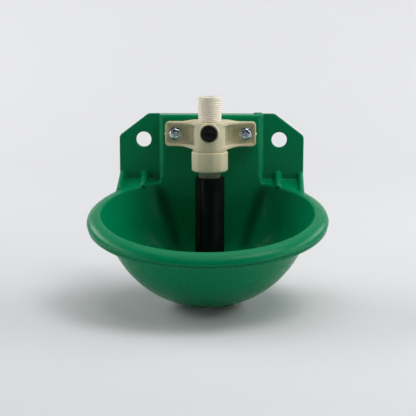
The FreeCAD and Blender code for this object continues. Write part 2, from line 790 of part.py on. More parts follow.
def regulator_o_ring():
    """The seal between the plug's groove and its bore, a little clear of both."""
    depth = size("regulator_head") + size("o_ring_setback") + size("o_ring_groove_width") / 2
    out = PANEL_OUT + size("valve_axis_out") + BOSS_FACE + size("regulator_proud")
    low = size("regulator_stem_radius") - size("o_ring_groove_depth")
    high = size("regulator_stem_radius") + size("fit_gap")
    section = (high - low) / 2 - size("fit_gap") / 5
    ring_piece = o_ring("regulator_o_ring", (low + high) / 2, section)
    return place(ring_piece, 0, -(out - depth), VALVE_Z + size("regulator_rise"), X_AXIS, 90)


def washer(name, inner, outer, thickness):
    """A plain ring washer."""
    disc = doc.addObject("Part::Cylinder", name + "_disc")
    bind(disc, "Radius", outer)
    bind(disc, "Height", thickness)
    hole = doc.addObject("Part::Cylinder", name + "_hole")
    bind(hole, "Radius", inner)
    bind(hole, "Height", thickness)
    return cut(name, disc, hole)


def union_nut():
    outer, thread = size("nut_outer_radius"), size("nut_thread_radius") + size("fit_gap")
    room, mouth = size("tube_flange_radius") + size("rocking_gap"), size("nut_mouth_radius")
    ease = size("nut_chamfer")
    top = size("nut_length")
    ledge = SPIGOT_LOW - size("gasket_thickness") - NUT_LOW
    body = turned("union_nut", [(mouth, ZERO), (outer - ease, ZERO), (outer, ease), (outer, top - ease),
                                (outer - ease, top), (thread, top), (thread, ledge), (room, ledge),
                                (room, size("nut_floor")), (mouth, size("nut_floor"))])
    return on_axis(body, NUT_LOW)


def nut_gasket():
    room = size("tube_flange_radius") + size("rocking_gap")
    body = turned("nut_gasket", [(room, ZERO), (size("nut_thread_radius"), ZERO),
                                 (size("nut_thread_radius"), size("gasket_thickness")),
                                 (room, size("gasket_thickness"))])
    return on_axis(body, SPIGOT_LOW - size("gasket_thickness"))


def thrust_washer():
    inner = size("tube_radius") + size("thrust_washer_room")
    outer = size("tube_flange_radius")
    thick = size("thrust_washer_thickness") - size("seat_gap")
    body = turned("thrust_washer", [(inner, ZERO), (outer, ZERO), (outer, thick), (inner, thick)])
    return on_axis(body, NUT_SEAT)


def inner_tube():
    """The push tube, with the flange that rocks on the washer when the tube is pushed aside."""
    bore, tube, flange = size("tube_bore_radius"), size("tube_radius"), size("tube_flange_radius")
    thick = size("tube_flange_thickness")
    low = -(TUBE_SEAT - SLEEVE_LOW - size("tube_inset"))
    ledge = bore - size("anvil_ring_width")
    ledge_low = thick - size("anvil_ring_height")
    body = turned("inner_tube", [(bore, low), (tube, low), (tube, ZERO), (flange, ZERO), (flange, thick),
                                 (ledge, thick), (ledge, ledge_low), (bore, ledge_low)])
    doc.recompute()
    tall = size("anvil_height")
    half, reach = size("anvil_width") / 2, bore + size("anvil_ring_width")
    bar_sketch = body_sketch(body, "XY_Plane", "anvil_sketch", thick - tall)
    outline(bar_sketch, [(-reach, -half), (reach, -half), (reach, half), (-reach, half)])
    pad(body, bar_sketch, tall, "anvil_bar")
    return on_axis(body, TUBE_SEAT)


def tube_sleeve():
    outer, inner = size("sleeve_radius"), size("tube_radius")
    length = size("sleeve_length")
    body = turned("tube_sleeve", [(inner, ZERO), (outer - CHAMFER, ZERO), (outer, CHAMFER), (outer, length - CHAMFER),
                                  (outer - CHAMFER, length), (inner, length)])
    return on_axis(body, SLEEVE_LOW)


def valve_seat():
    seat, bore = size("seat_radius"), size("seat_bore_radius")
    thick = size("seat_thickness")
    lip = size("seat_lip_height")
    width = size("seat_lip_width")
    body = turned("valve_seat", [(bore, ZERO), (seat, ZERO), (seat, thick), (bore + width, thick),
                                 (bore + width - lip, thick + lip), (bore + lip, thick + lip), (bore, thick)])
    return on_axis(body, SPIGOT_LOW)


def valve_disc():
    """The disc that closes the seat, with the stem that stands on the push tube."""
    disc, stem = size("disc_radius"), size("stem_radius")
    thick = size("disc_thickness")
    reach = DISC_LOW - TUBE_TOP - size("running_gap")
    guide = size("spring_radius") - size("spring_wire") / 2 - size("running_gap")
    tall = thick + size("spring_guide_height")
    body = turned("valve_disc", [(ZERO, -reach), (stem - CHAMFER, -reach), (stem, -reach + CHAMFER), (stem, ZERO),
                                 (disc, ZERO), (disc, thick), (guide, thick), (guide - CHAMFER, tall), (ZERO, tall)])
    return on_axis(body, DISC_LOW)


def disc_seal():
    stem, disc = size("stem_radius"), size("disc_radius")
    lift = size("seat_lip_height")
    thick = size("disc_seal_thickness") - lift
    body = turned("disc_seal", [(stem, ZERO), (disc, ZERO), (disc, thick), (stem, thick)])
    return on_axis(body, SEAT_TOP + lift)


def spring_retainer():
    """A spoked plate above the spring, which lets the water past."""
    outer = size("chamber_radius") - size("fit_gap")
    thick = size("retainer_thickness")
    inner = size("retainer_centre_radius")
    body = turned("spring_retainer", [(inner, ZERO), (outer, ZERO), (outer, thick), (inner, thick)])
    doc.recompute()
    slot = body_sketch(body, "XY_Plane", "water_slot_sketch")
    ring(slot, size("retainer_hole_ring"), ZERO, size("retainer_hole_radius"))
    first = pocket(body, slot, thick, "water_hole", True)
    pattern = body.newObject("PartDesign::PolarPattern", "water_holes")
    pattern.Originals = [first]
    pattern.Axis = (slot, ["N_Axis"])
    pattern.Angle = 360
    pattern.Occurrences = 3
    body.Tip = pattern
    return on_axis(body, CHAMBER_TOP - thick)


def closing_spring():
    """A coil spring from the disc up to the retainer."""
    wire = size("spring_wire") / 2
    rise = SIZES["spring_length"] - SIZES["spring_wire"]
    helix = Part.makeHelix(rise / SIZES["spring_turns"], rise, SIZES["spring_radius"])
    circle = Part.Circle(FreeCAD.Vector(SIZES["spring_radius"], 0, 0), Y_AXIS, wire.value)
    profile = Part.Wire([circle.toShape()])
    coil = Part.Wire(helix.Edges).makePipeShell([profile], True, True)
    thing = feature("closing_spring", coil)
    return node(place(thing, 0, AXIS_Y, DISC_TOP + wire), "closing_spring")


def inlet_strainer():
    """A basket of slots in the mouth of the inlet, which keeps grit out of the valve."""
    wall = size("strainer_wall")
    outer, length = size("strainer_radius"), size("strainer_length")
    rim = size("inlet_bore_radius") + size("strainer_rim_width") - size("fit_gap")
    thick = size("strainer_rim_height")
    body = turned("inlet_strainer", [(ZERO, ZERO), (outer, ZERO), (outer, length - thick), (rim, length - thick),
                                     (rim, length), (outer - wall, length), (outer - wall, wall), (ZERO, wall)])
    doc.recompute()
    half, low = size("strainer_slot_width") / 2, size("strainer_slot_margin")
    high = length - thick - low
    slot = outline(body_sketch(body, "XZ_Plane", "strainer_slot_sketch"),
                   [(-half, low), (half, low), (half, high), (-half, high)])
    first = pocket(body, slot, outer + OVERRUN, "strainer_slot", True)
    pattern = body.newObject("PartDesign::PolarPattern", "strainer_slots")
    pattern.Originals = [first]
    pattern.Axis = (slot, ["V_Axis"])
    pattern.Angle = 360
    pattern.Occurrences = 8
    body.Tip = pattern
    return on_axis(body, size("inlet_top") - length)


def pair(label, make, out):
    """Two like fasteners, one on each side of the valve, at a distance out from the wall."""
    twins = []
    for side, sign in (("left", -1), ("right", 1)):
        piece = make("%s_%s" % (label, side))
        twins.append(place(piece, size("screw_spacing") / 2 * sign, -out, VALVE_Z, X_AXIS, 90))
    group = doc.addObject("Part::Compound", label)
    group.Links = twins
    return node(group, label)


def screw(name):
    """A flanged screw along its own Z axis: head outwards, shank into the wall side."""
    radius = size("screw_radius")
    head = size("screw_head_radius")
    tall = size("screw_head_height")
    brim, brim_tall = size("screw_flange_radius"), size("screw_flange_height")
    body = new_body(name)
    section = body_sketch(body, "XZ_Plane", name + "_section")
    length = SCREW_SHANK
    outline(section, [(ZERO, -length), (radius - CHAMFER, -length), (radius, -length + CHAMFER), (radius, ZERO),
                      (brim, ZERO), (brim, brim_tall), (head, brim_tall), (head, tall - CHAMFER),
                      (head - CHAMFER, tall), (ZERO, tall)])
    spin = body.newObject("PartDesign::Revolution", name + "_turning")
    spin.Profile = section
    spin.ReferenceAxis = (section, ["V_Axis"])
    spin.Angle = 360
    arm, reach = size("recess_arm"), size("recess_reach")
    cross = outline(body_sketch(body, "XY_Plane", name + "_recess_sketch", tall),
                    [(-arm, -reach), (arm, -reach), (arm, -arm), (reach, -arm), (reach, arm), (arm, arm),
                     (arm, reach), (-arm, reach), (-arm, arm), (-reach, arm), (-reach, -arm), (-arm, -arm)])
    pocket(body, cross, size("recess_depth"), name + "_recess")
    return body


def hex_nut(name):
    prism = doc.addObject("Part::Prism", name + "_hexagon")
    prism.Polygon = 6
    bind(prism, "Circumradius", size("fastener_nut_width") / math.sqrt(3))
    bind(prism, "Height", size("fastener_nut_height"))
    hole = doc.addObject("Part::Cylinder", name + "_hole")
    bind(hole, "Radius", size("screw_radius"))
    bind(hole, "Height", size("fastener_nut_height"))
    return cut(name, prism, hole)


def plain_washer(name):
    return washer(name, size("screw_radius") + size("hole_gap"), size("washer_radius"), size("washer_thickness"))


def lock_washer(name):
    """A split ring that keeps the nut from working loose."""
    outer, thick = size("lock_washer_radius"), size("lock_washer_thickness")
    whole = washer(name + "_ring", size("screw_radius") + size("hole_gap"), outer, thick)
    split = doc.addObject("Part::Box", name + "_split")
    bind(split, "Length", outer)
    bind(split, "Width", size("lock_washer_split"))
    bind(split, "Height", thick)
    place(split, 0, -size("lock_washer_split") / 2, 0)
    return cut(name, whole, split)


bowl_shell()
valve_body()
flow_regulator()
regulator_o_ring()
union_nut()
nut_gasket()
thrust_washer()
inner_tube()
tube_sleeve()
valve_seat()
valve_disc()
disc_seal()
closing_spring()
spring_retainer()
inlet_strainer()
pair("valve_screws", screw, HEAD_FACE)
pair("front_washers", plain_washer, WASHER_FACE)
pair("rear_washers", plain_washer, REAR_WASHER_FACE)
pair("lock_washers", lock_washer, LOCK_WASHER_FACE)
pair("rear_nuts", hex_nut, NUT_FACE)
doc.recompute()

for thing in doc.Objects:
    if "Invalid" in thing.State or "Error" in thing.State:
        raise SystemExit("failed: %s %s" % (thing.Label, thing.State))
for thing in NODES:
    if thing.Shape.isNull() or not thing.Shape.isValid():
        raise SystemExit("bad shape: " + thing.Label)
os.makedirs("parts", exist_ok=True)
for thing in NODES:
    thing.Shape.exportStep("parts/%s.step" % thing.Label)
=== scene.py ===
import json
import math

import bpy
import numpy as np
from mathutils import Matrix, Vector


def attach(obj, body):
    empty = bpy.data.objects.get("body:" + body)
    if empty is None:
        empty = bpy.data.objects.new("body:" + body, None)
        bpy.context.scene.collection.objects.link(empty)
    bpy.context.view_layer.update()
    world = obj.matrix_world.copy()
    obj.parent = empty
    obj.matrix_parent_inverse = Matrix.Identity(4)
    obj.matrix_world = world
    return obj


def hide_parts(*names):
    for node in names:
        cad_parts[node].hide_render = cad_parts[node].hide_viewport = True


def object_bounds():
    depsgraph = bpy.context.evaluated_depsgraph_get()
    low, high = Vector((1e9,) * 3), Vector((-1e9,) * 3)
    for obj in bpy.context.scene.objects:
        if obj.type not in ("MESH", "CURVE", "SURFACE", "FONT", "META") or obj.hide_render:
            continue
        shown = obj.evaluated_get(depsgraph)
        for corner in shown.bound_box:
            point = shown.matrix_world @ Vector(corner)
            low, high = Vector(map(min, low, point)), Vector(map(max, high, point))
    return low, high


# A livestock drinking bowl of moulded green plastic with a nylon push-tube valve. Metres, in the part's own
# frame: the origin is midway between the two wall bolt holes, X to the right, Y into the wall, Z up.

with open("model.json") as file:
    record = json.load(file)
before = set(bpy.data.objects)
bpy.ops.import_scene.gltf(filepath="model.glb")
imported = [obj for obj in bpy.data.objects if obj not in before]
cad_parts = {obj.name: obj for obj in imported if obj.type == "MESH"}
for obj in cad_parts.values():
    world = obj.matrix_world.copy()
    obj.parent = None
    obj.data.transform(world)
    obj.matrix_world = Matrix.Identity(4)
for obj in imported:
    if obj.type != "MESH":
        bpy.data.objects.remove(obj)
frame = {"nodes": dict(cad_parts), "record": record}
cad_low, cad_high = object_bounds()

MM = 0.001
SMOOTH_ANGLE = math.radians(32)
MERGE_DISTANCE = 2e-6

# Sizes that several pieces share, in millimetres
AXIS_Y = -39.0
VALVE_Z = 7.2
PLUG_Z = 10.7
SCREW_X = 31.5
INLET_BORE = 7.2
INLET_TOP = 42.0
PANEL_Y = -17.0
BOX_HALF = 46.5
RIB_X = 61.0

# The rim's plane, and the roll and ball-shaped walls that follow it, in millimetres
RIM_TILT = math.radians(10.6)
LEAN, RISE = math.cos(RIM_TILT), math.sin(RIM_TILT)
RIM_CENTRE = (-86.0, -51.5)
MOUTH_RADIUS = 90.5
INNER_BALL, OUTER_BALL = 85.6, 88.8
BALL_RISE = 6.8
SIDE_FLARE = 4.9
ROLL_CREST, ROLL_WIDTH, ROLL_CROWN = 92.1, 10.9, 7.2
BACK_WIDTH_DEPTH, BACK_FLOOR_DEPTH = 84.0, 110.0


# Helpers


def choose(thing):
    """Make one object the only selected and active one."""
    bpy.ops.object.select_all(action="DESELECT")
    thing.select_set(True)
    bpy.context.view_layer.objects.active = thing


def smooth(thing, angle=SMOOTH_ANGLE):
    choose(thing)
    bpy.ops.object.shade_smooth_by_angle(angle=angle)


def smooth_all(thing):
    choose(thing)
    bpy.ops.object.shade_smooth()


def body_of_node(node):
    """The moving body that a solid belongs to."""
    for body, members in frame["record"]["behaviour"]["bodies"].items():
        if node in members:
            return body
    return None


def slot_of_node(node):
    for part in frame["record"]["subparts"]:
        if part["node"] == node:
            return part["material_slot"]
    return None


def finish_piece(piece, node, material):
    """Paint a piece that stands for a solid, and let it move with the solid's body."""
    piece.data.materials.clear()
    piece.data.materials.append(material)
    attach(piece, body_of_node(node))
    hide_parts(node)


def add_object(name, data):
    thing = bpy.data.objects.new(name, data)
    bpy.context.scene.collection.objects.link(thing)
    return thing


def edit_all(piece, operation, **settings):
    """Run a mesh operation on the whole of a piece."""
    choose(piece)
    bpy.ops.object.mode_set(mode="EDIT")
    bpy.ops.mesh.select_all(action="SELECT")
    operation(**settings)
    bpy.ops.object.mode_set(mode="OBJECT")


def solid_copy(node, name):
    """A copy of a solid with its loose triangles merged."""
    piece = add_object(name, frame["nodes"][node].data.copy())
    edit_all(piece, bpy.ops.mesh.remove_doubles, threshold=MERGE_DISTANCE)
    return piece


def mesh_piece(name, points, faces):
    """An object from points in millimetres and faces."""
    mesh = bpy.data.meshes.new(name)
    mesh.from_pydata([tuple(c * MM for c in point) for point in points], [], faces)
    mesh.update()
    return add_object(name, mesh)


def closed_piece(name, points, faces):
    """A mesh with all its faces turned outwards."""
    piece = mesh_piece(name, points, faces)
    edit_all(piece, bpy.ops.mesh.normals_make_consistent, inside=False)
    return piece


def apply_modifier(piece, kind, **settings):
    modifier = piece.modifiers.new(kind.lower(), kind)
    for name, value in settings.items():
        setattr(modifier, name, value)
    choose(piece)
    bpy.ops.object.modifier_apply(modifier=modifier.name)


def lathe(name, profile, steps=96, warp=None, axis_y=AXIS_Y, base=0.0):
    """A turned piece about an upright axis, from a closed profile of (radius, height) in millimetres."""
    points = []
    for i in range(steps):
        angle = 2 * math.pi * i / steps
        for radius, height in profile:
            reach = warp(radius, height, angle) if warp else radius
            points.append((reach * math.cos(angle), axis_y + reach * math.sin(angle), base + height))
    count = len(profile)
    faces = []
    for i in range(steps):
        for j in range(count):
            a, b = i * count + j, i * count + (j + 1) % count
            c, d = ((i + 1) % steps) * count + (j + 1) % count, ((i + 1) % steps) * count + j
            faces.append((a, d, c, b))
    return closed_piece(name, points, faces)


def capped(name, points):
    """A block between two outlines with as many points each."""
    count = len(points) // 2
    faces = [tuple(range(count)), tuple(reversed(range(count, 2 * count)))]
    faces += [(i, (i + 1) % count, count + (i + 1) % count, count + i) for i in range(count)]
    return closed_piece(name, points, faces)


def prism(name, corners, low, high, plane="XZ"):
    """A block from an outline in millimetres, run along the axis that the outline leaves free."""
    points = []
    for depth in (low, high):
        for a, b in corners:
            points.append((a, depth, b) if plane == "XZ" else (a, b, depth))
    return capped(name, points)


def rod(name, radius, low, high, x=0.0, y=AXIS_Y, z=0.0, along="Z", steps=96):
    """A solid cylinder along Z, or along Y for a piece that faces the front."""
    points = []
    for depth in (low, high):
        for i in range(steps):
            angle = 2 * math.pi * i / steps
            across, up = radius * math.cos(angle), radius * math.sin(angle)
            points.append((x + across, y + up, depth) if along == "Z" else (x + across, depth, z + up))
    return capped(name, points)


def combine(base, tools, operation):
    """Join pieces into one, or cut them out of it, and clear them away."""
    for tool in tools:
        apply_modifier(base, "BOOLEAN", operation=operation, object=tool, solver="EXACT")
        bpy.data.objects.remove(tool)


def remesh(piece, voxel, rounds):
    """Give a piece the soft, run-together edges of a moulding."""
    choose(piece)
    piece.data.remesh_voxel_size = voxel * MM
    piece.data.remesh_voxel_adaptivity = 0.0
    bpy.ops.object.voxel_remesh()
    apply_modifier(piece, "SMOOTH", factor=0.5, iterations=rounds)


def thin(piece, triangles):
    """Bring a dense piece down to a number of triangles."""
    count = sum(len(face.vertices) - 2 for face in piece.data.polygons)
    if count > triangles:
        apply_modifier(piece, "DECIMATE", ratio=triangles / count)


def vectors(piece, kind):
    """The place or the normal of each vertex, one row each."""
    flat = np.empty(len(piece.data.vertices) * 3)
    piece.data.vertices.foreach_get(kind, flat)
    return flat.reshape(-1, 3)


def coordinates(piece):
    """A piece's points in millimetres."""
    return vectors(piece, "co") / MM


def move_points(piece, points):
    """Put a piece's points at new places, in millimetres."""
    piece.data.vertices.foreach_set("co", (points * MM).ravel())
    piece.data.update()


def soften(piece, weights, rounds):
    """Smooth a piece only where the weights say so."""
    group = piece.vertex_groups.new(name="soft")
    levels = np.round(weights * 10).astype(int)
    for level in range(1, 11):
        group.add(np.flatnonzero(levels == level).tolist(), level / 10, "REPLACE")
    apply_modifier(piece, "SMOOTH", factor=0.5, iterations=rounds, vertex_group="soft")
    piece.vertex_groups.remove(piece.vertex_groups["soft"])


# Material helpers


def new_material(name):
    material = bpy.data.materials.new(name)
    material.use_nodes = True
    tree = material.node_tree
    return material, tree, tree.nodes["Principled BSDF"]


def link(tree, source, target):
    tree.links.new(source, target)


def noise(tree, scale, detail=3.0, roughness=0.5):
    """Cloudy variation that stays with the piece."""
    place = tree.nodes.new("ShaderNodeTexCoord")
    cloud = tree.nodes.new("ShaderNodeTexNoise")
    cloud.inputs["Scale"].default_value = scale
    cloud.inputs["Detail"].default_value = detail
    cloud.inputs["Roughness"].default_value = roughness
    link(tree, place.outputs["Object"], cloud.inputs["Vector"])
    return cloud.outputs["Fac"]


def blend_colours(tree, amount, first, second):
    mix = tree.nodes.new("ShaderNodeMix")
    mix.data_type = "RGBA"
    mix.inputs["A"].default_value = (*first, 1)
    mix.inputs["B"].default_value = (*second, 1)
    link(tree, amount, mix.inputs["Factor"])
    return mix.outputs["Result"]


def remap(tree, value, low, high, out_low, out_high):
    scale = tree.nodes.new("ShaderNodeMapRange")
    for name, number in (("From Min", low), ("From Max", high), ("To Min", out_low), ("To Max", out_high)):
        scale.inputs[name].default_value = number
    link(tree, value, scale.inputs["Value"])
    return scale.outputs["Result"]


def calculate(tree, operation, first, second=0.0):
    """A sum on node outputs, plain numbers or both."""
    node = tree.nodes.new("ShaderNodeMath")
    node.operation = operation
    for socket, value in zip(node.inputs, (first, second)):
        if isinstance(value, float):
            socket.default_value = value
        else:
            link(tree, value, socket)
    return node.outputs["Value"]


def measured(tree, weights, offset=0.0):
    """A weighted sum of the object coordinates, in metres, less an offset."""
    place = tree.nodes.new("ShaderNodeTexCoord")
    dot = tree.nodes.new("ShaderNodeVectorMath")
    dot.operation = "DOT_PRODUCT"
    dot.inputs[1].default_value = weights
    link(tree, place.outputs["Object"], dot.inputs[0])
    return calculate(tree, "SUBTRACT", dot.outputs["Value"], offset)


def bump(tree, shader, height, strength, distance):
    node = tree.nodes.new("ShaderNodeBump")
    node.inputs["Strength"].default_value = strength
    node.inputs["Distance"].default_value = distance
    link(tree, height, node.inputs["Height"])
    link(tree, node.outputs["Normal"], shader.inputs["Normal"])


# Share of the roughness by which the gloss wanders, and the depth of the grain in metres
GLOSS_SPREAD = 0.12
GRAIN_DEPTH = 0.0001


def surface(name, dark, light, rough, metallic=0.0, grain=60.0, grit=900.0, relief=0.05, ior=1.5):
    """A procedural finish: cloudy colour, slightly uneven gloss and a fine grain."""
    material, tree, shader = new_material(name)
    cloud = remap(tree, noise(tree, grain), 0.3, 0.7, 0.0, 1.0)
    link(tree, blend_colours(tree, cloud, dark, light), shader.inputs["Base Color"])
    low, high = rough * (1 - GLOSS_SPREAD), rough * (1 + GLOSS_SPREAD)
    link(tree, remap(tree, noise(tree, grain * 3), 0.3, 0.7, low, high), shader.inputs["Roughness"])
    shader.inputs["Metallic"].default_value = metallic
    shader.inputs["IOR"].default_value = ior
    bump(tree, shader, noise(tree, grit, 2.0), relief, GRAIN_DEPTH)
    return material, tree, shader


def let_light_in(shader, weight, radius, scale):
    """Make a finish a little translucent."""
    shader.inputs["Subsurface Weight"].default_value = weight
    shader.inputs["Subsurface Radius"].default_value = radius
    shader.inputs["Subsurface Scale"].default_value = scale


# The green finish gets painted shade, a dark line in the groove under the roll and dark bands in the corners
# by the panel, in metres
SHADE_COLOUR = (0.05, 0.12, 0.1)
RIM_UP = (0.0, -RISE, LEAN)
RIM_BACK = (0.0, LEAN, RISE)
RIM_LEVEL = (RIM_CENTRE[1] * LEAN - RIM_CENTRE[0] * RISE) * MM
RIM_MIDDLE = (RIM_CENTRE[0] * LEAN + RIM_CENTRE[1] * RISE) * MM
LINE_DROP = 0.0081
LINE_HALF_WIDTHS = (0.0002, 0.0008)
LINE_RADII = (0.098, 0.100)
LINE_SHADE_STRENGTH = 0.7
CORNER_HALF_WIDTH, CORNER_SLOPE = 0.0607, 0.314
CORNER_SHADE_BAND = (0.0015, 0.0085)
CORNER_SHADE_STRENGTH = 0.6
# Each limit of the painted corner shade: the direction it is measured along, where it is none and where it is
# full
CORNER_SHADE_LIMITS = (((0.0, 1.0, 0.0), -0.034, -0.020), ((0.0, -1.0, 0.0), 0.0155, 0.0165),
                 ((0.0, 0.0, -1.0), 0.038, 0.046), ((0.0, 0.0, 1.0), -0.102, -0.094))


def paint_shade(tree, shader, mask, strength):
    """Paint shade into a finish's colour: multiply it down where a mask says so."""
    source = shader.inputs["Base Color"].links[0].from_socket
    mix = tree.nodes.new("ShaderNodeMix")
    mix.data_type = "RGBA"
    mix.blend_type = "MULTIPLY"
    link(tree, calculate(tree, "MULTIPLY", mask, strength), mix.inputs["Factor"])
    link(tree, source, mix.inputs["A"])
    mix.inputs["B"].default_value = (*SHADE_COLOUR, 1)
    link(tree, mix.outputs["Result"], shader.inputs["Base Color"])


def paint_shade_under_roll(tree, shader):
    """Painted shade: a dark line in the groove where the roll meets the wall, on the outside only."""
    level = measured(tree, RIM_UP, RIM_LEVEL - LINE_DROP)
    line = remap(tree, calculate(tree, "ABSOLUTE", level), *LINE_HALF_WIDTHS, 1.0, 0.0)
    across, back = measured(tree, (1.0, 0.0, 0.0)), measured(tree, RIM_BACK, RIM_MIDDLE)
    reach = calculate(tree, "ADD", calculate(tree, "MULTIPLY", across, across),
                      calculate(tree, "MULTIPLY", back, back))
    outside = remap(tree, reach, LINE_RADII[0] ** 2, LINE_RADII[1] ** 2, 0.0, 1.0)
    paint_shade(tree, shader, calculate(tree, "MULTIPLY", line, outside), LINE_SHADE_STRENGTH)


def paint_corner_shade(tree, shader):
    """Painted shade: a soft dark band in each inner corner where the bowl's wall meets the panel."""
    across, height = measured(tree, (1.0, 0.0, 0.0)), measured(tree, (0.0, 0.0, 1.0))
    corner = calculate(tree, "ADD", calculate(tree, "MULTIPLY", height, CORNER_SLOPE), CORNER_HALF_WIDTH)
    gap = calculate(tree, "SUBTRACT", calculate(tree, "ABSOLUTE", across), corner)
    shade = remap(tree, calculate(tree, "ABSOLUTE", gap), *CORNER_SHADE_BAND, 1.0, 0.0)
    for direction, none, full in CORNER_SHADE_LIMITS:
        limit = remap(tree, measured(tree, direction), none, full, 0.0, 1.0)
        shade = calculate(tree, "MULTIPLY", shade, limit)
    paint_shade(tree, shader, shade, CORNER_SHADE_STRENGTH)


# Materials

green, green_tree, green_shader = surface("moulded_green", (0.0, 0.188, 0.072), (0.0, 0.205, 0.080), 0.27,
                                          grain=25.0, grit=700.0, relief=0.03, ior=1.2)
# Painted shade: a dark line under the roll and dark bands in the inner corners by the panel
paint_shade_under_roll(green_tree, green_shader)
paint_corner_shade(green_tree, green_shader)
nylon, _, nylon_shader = surface("natural_nylon", (0.55, 0.50, 0.33), (0.61, 0.56, 0.39), 0.42,
                                 grain=70.0, grit=1200.0, relief=0.05, ior=1.4)
let_light_in(nylon_shader, 0.5, (1.0, 0.8, 0.45), 0.003)
# Painted light: a lighter copy of the nylon for the inlet thread, standing in for light shining through the
# backlit thread
nylon_painted_backlight, _, painted_backlight_shader = surface("nylon_painted_backlight", (0.76, 0.69, 0.56), (0.82, 0.75, 0.62), 0.42,
                                     grain=70.0, grit=1200.0, relief=0.04, ior=1.4)
let_light_in(painted_backlight_shader, 0.3, (1.0, 0.8, 0.6), 0.002)
black, _, _ = surface("black_plastic", (0.004, 0.004, 0.005), (0.006, 0.006, 0.007), 0.36, ior=1.3)
rubber, _, _ = surface("seal_rubber", (0.010, 0.010, 0.010), (0.014, 0.014, 0.014), 0.62)
tube_grey, _, _ = surface("grey_tube", (0.22, 0.24, 0.17), (0.26, 0.28, 0.20), 0.4, ior=1.35)
hose, _, _ = surface("black_hose", (0.0010, 0.0022, 0.0022), (0.0014, 0.003, 0.003), 0.5, ior=1.22)
zinc, _, _ = surface("zinc_plate", (0.42, 0.50, 0.54), (0.54, 0.61, 0.65), 0.18, 1.0, 300.0, 2500.0, 0.1)
acetal, _, _ = surface("white_acetal", (0.70, 0.68, 0.62), (0.76, 0.74, 0.68), 0.4)
steel, _, _ = surface("spring_steel", (0.55, 0.55, 0.56), (0.62, 0.62, 0.63), 0.24, 1.0, 200.0)

SLOT_MATERIALS = {
    "green_plastic": green,
    "natural_nylon": nylon,
    "black_plastic": black,
    "seal_rubber": rubber,
    "grey_tube": tube_grey,
    "black_hose": hose,
    "seat_plastic": acetal,
    "spring_steel": steel,
    "zinc_steel": zinc,
}


# The moulded bowl

# Detail of the remeshed bowl: voxel in millimetres, rounds of smoothing, and triangles after thinning
BOWL_VOXEL, BOWL_ROUNDS, BOWL_TRIANGLES = 0.85, 4, 196000
# Where the turned form holds: the rim up to a distance behind its middle, the wall only in front of the middle
RIM_INSIDE, RIM_UNDER = 91.0, -13.0
RIM_HOLD_END, RIM_HOLD_FADE = 32.0, 10.0
WALL_HOLD_FADE = 6.0
# The round corner between wall and panel: its reach, a margin past each face, and where the wall flares
CORNER_REACH, FACE_MARGIN = 13.0, 1.2
FLARE_ANGLE = math.radians(-23.7)
# Depths below the rim at which the corner's push and its smoothing are full
PUSH_FADE, SMOOTHING_FADE = 40.0, 8.0
# The mouth's edge by the panel: how near counts, and how far behind the middle it starts
LIP_REACH, LIP_START, LIP_FADE = 5.0, 42, 12
# The box's upright front edges, and the ribs beside it: half width, how much fuller they get, and their foot
EDGE_RADIUS, EDGE_END, EDGE_FADE = 4.6, -34.0, 3.0
RIB_HALF, RIB_SWELL, RIB_FOOT, RIB_FADE = 3.2, 0.75, 0.6, 1.5
CORNER_ROUNDS, EDGE_ROUNDS = 30, 8


def rim_coordinates(points):
    """Distances across, behind the middle of and above the rim plane, for points in millimetres."""
    y, z = points[:, 1] - RIM_CENTRE[0], points[:, 2] - RIM_CENTRE[1]
    back = y * LEAN + z * RISE
    above = -y * RISE + z * LEAN
    return points[:, 0], back, above


def ball_curve(radius, steps=60):
    """Section of a ball-shaped wall, from where the flared side touches it down to the bowl's middle."""
    mouth = radius + SIDE_FLARE
    touch = math.atan2(-BALL_RISE, mouth) - math.acos(radius / math.hypot(BALL_RISE, mouth))
    angles = [touch - (touch + math.pi / 2) * i / steps for i in range(steps + 1)]
    return [(radius * math.cos(angle), BALL_RISE + radius * math.sin(angle)) for angle in angles]


def rim_profile(steps=40):
    """Half section of the front of the bowl as radius and height above the rim plane, at close steps."""
    corners = []
    for i in range(steps + 1):
        angle = math.radians(90 - 90 * i / steps)
        corners.append((ROLL_CREST + ROLL_WIDTH * math.cos(angle),
                        -ROLL_CROWN + ROLL_CROWN * math.sin(angle)))
    corners += [(102.7, -7.7), (102.35, -8.1), (102.3, -8.6), (102.3, -10.4), (101.8, -11.0), (99.6, -11.0),
                (99.1, -10.6), (99.0, -5.6), (93.4, -3.6)]
    corners += ball_curve(OUTER_BALL)
    corners += reversed(ball_curve(INNER_BALL))
    corners += [(MOUTH_RADIUS, -1.2), (MOUTH_RADIUS, -1.0), (90.75, -0.4), (91.3, -0.1), (ROLL_CREST, 0.0)]
    return np.array(corners)


def snapped(points, profile):
    """The nearest points on a profile and its normals there, for points given as radius and height."""
    first, step = profile[:-1], np.diff(profile, axis=0)
    lengths = np.maximum((step ** 2).sum(1), 1e-9)
    normals = np.column_stack((-step[:, 1], step[:, 0])) / np.sqrt(lengths)[:, None]
    best = np.full(len(points), np.inf)
    spots, sides = points.copy(), np.zeros_like(points)
    for i in range(len(first)):
        share = np.clip(((points - first[i]) @ step[i]) / lengths[i], 0, 1)
        spot = first[i] + share[:, None] * step[i]
        gap = ((points - spot) ** 2).sum(1)
        closer = gap < best
        best[closer] = gap[closer]
        spots[closer] = spot[closer]
        sides[closer] = normals[i]
    return spots, sides


